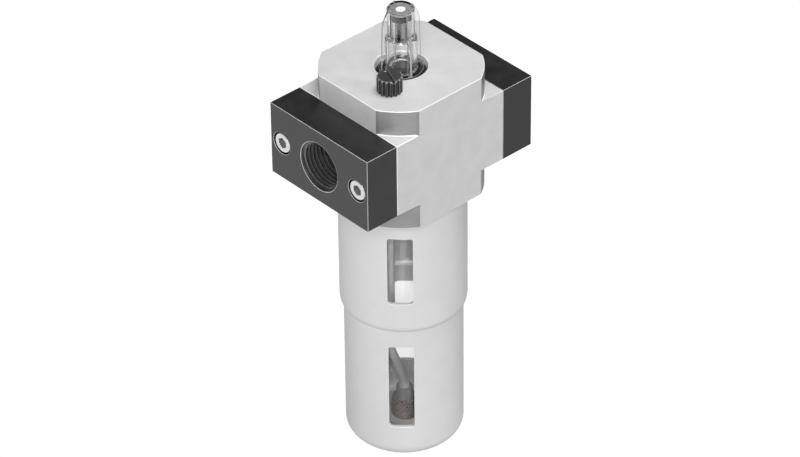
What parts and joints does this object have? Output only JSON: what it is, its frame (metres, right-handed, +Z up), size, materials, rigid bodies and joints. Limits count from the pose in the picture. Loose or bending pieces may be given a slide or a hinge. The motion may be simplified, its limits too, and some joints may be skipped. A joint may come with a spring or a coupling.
{
  "type": "air line lubricator",
  "caption": "Compressed air line lubricator with threaded side ports, clear sight dome, knurled metering screw and a clear oil bowl in a windowed metal guard.",
  "frame": {"origin": "centre of the guard's flat base, on the bowl's axis", "axes": "+Z up along the bowl's axis, +X along the air flow from the inlet plate to the outlet plate, -Y the plain front face"},
  "size_m": [0.085, 0.055, 0.199],
  "materials": {
    "cast_metal": "satin grey die casting",
    "black_plate": "satin black",
    "screw_steel": "bright zinc plate",
    "seal_rubber": "smooth black rubber",
    "cream_plastic": "moulded cream plastic",
    "brass_parts": "turned brass",
    "clear_dome": "clear moulded plastic",
    "plated_sleeve": "dull bright plate",
    "white_plastic": "white moulded plastic",
    "black_knob": "black moulded plastic",
    "riser_plastic": "translucent grey plastic tube",
    "grey_plastic": "dark grey moulded plastic",
    "ball_steel": "polished ball",
    "sintered_bronze": "sintered bronze grains",
    "spring_steel": "spring steel",
    "clear_bowl": "clear moulded plastic",
    "slip_plastic": "pale low friction plastic",
    "guard_metal": "fine matt silver"
  },
  "bodies": {
    "main": {"housing": "cast_metal", "inlet_plate": "black_plate", "outlet_plate": "black_plate", "inlet_plate_screws": "screw_steel", "outlet_plate_screws": "screw_steel", "inlet_plate_seal": "seal_rubber", "outlet_plate_seal": "seal_rubber", "flow_insert": "cream_plastic", "damper_flap": "seal_rubber", "flap_retainer": "spring_steel", "drip_jet": "brass_parts", "dome_seal": "seal_rubber", "riser_tube": "riser_plastic", "foot_valve": "grey_plastic", "strainer": "sintered_bronze", "valve_cage": "brass_parts", "valve_spring": "spring_steel"},
    "drip_tube": {"drip_sleeve": "plated_sleeve", "drip_sleeve_seal": "seal_rubber", "drip_nozzle": "white_plastic"},
    "dome": {"sight_dome": "clear_dome"},
    "needle": {"metering_needle": "brass_parts", "metering_seal": "seal_rubber"},
    "knob": {"metering_knob": "black_knob"},
    "riser_check": {"riser_ball": "ball_steel"},
    "pressure_check": {"valve_ball": "ball_steel"},
    "oil_bowl": {"bowl": "clear_bowl", "bowl_seal": "seal_rubber"},
    "thrust_ring": {"slip_ring": "slip_plastic"},
    "guard": {"bowl_guard": "guard_metal"}
  },
  "joints": [
    {"name": "bowl_pull", "type": "slide", "parent": "main", "child": "oil_bowl", "axis": [0, 0, -1], "range_m": [0, 0.13]},
    {"name": "guard_drop", "type": "slide", "parent": "oil_bowl", "child": "thrust_ring", "axis": [0, 0, -1], "range_m": [0, 0.0081]},
    {"name": "guard_turn", "type": "hinge", "parent": "thrust_ring", "child": "guard", "pos_m": [0, 0, 0.12], "axis": [0, 0, -1], "range_deg": [0, 1440]},
    {"name": "needle_rise", "type": "slide", "parent": "main", "child": "needle", "axis": [0, 0, 1], "range_m": [0, 0.0015]},
    {"name": "knob_turn", "type": "hinge", "parent": "needle", "child": "knob", "pos_m": [-0.015, -0.01, 0.176], "axis": [0, 0, 1], "range_deg": [0, 1110]},
    {"name": "sleeve_rise", "type": "slide", "parent": "main", "child": "drip_tube", "axis": [0, 0, 1], "range_m": [0, 0.005]},
    {"name": "dome_turn", "type": "hinge", "parent": "drip_tube", "child": "dome", "pos_m": [0, 0, 0.18], "axis": [0, 0, 1], "range_deg": [0, 1830]},
    {"name": "riser_lift", "type": "slide", "parent": "main", "child": "riser_check", "axis": [0, 0, 1], "range_m": [0, 0.001]},
    {"name": "valve_open", "type": "slide", "parent": "main", "child": "pressure_check", "axis": [0, 0, -1], "range_m": [0, 0.0008], "stiffness_N_per_m": 40, "springref_m": -0.002, "deforming": ["valve_spring"]}
  ],
  "couplings": [
    {"joint": "guard_drop", "follows": "guard_turn", "m_per_rad": 0.00031831},
    {"joint": "knob_turn", "follows": "needle_rise", "rad_per_m": 12566},
    {"joint": "dome_turn", "follows": "sleeve_rise", "rad_per_m": 6283.2}
  ]
}
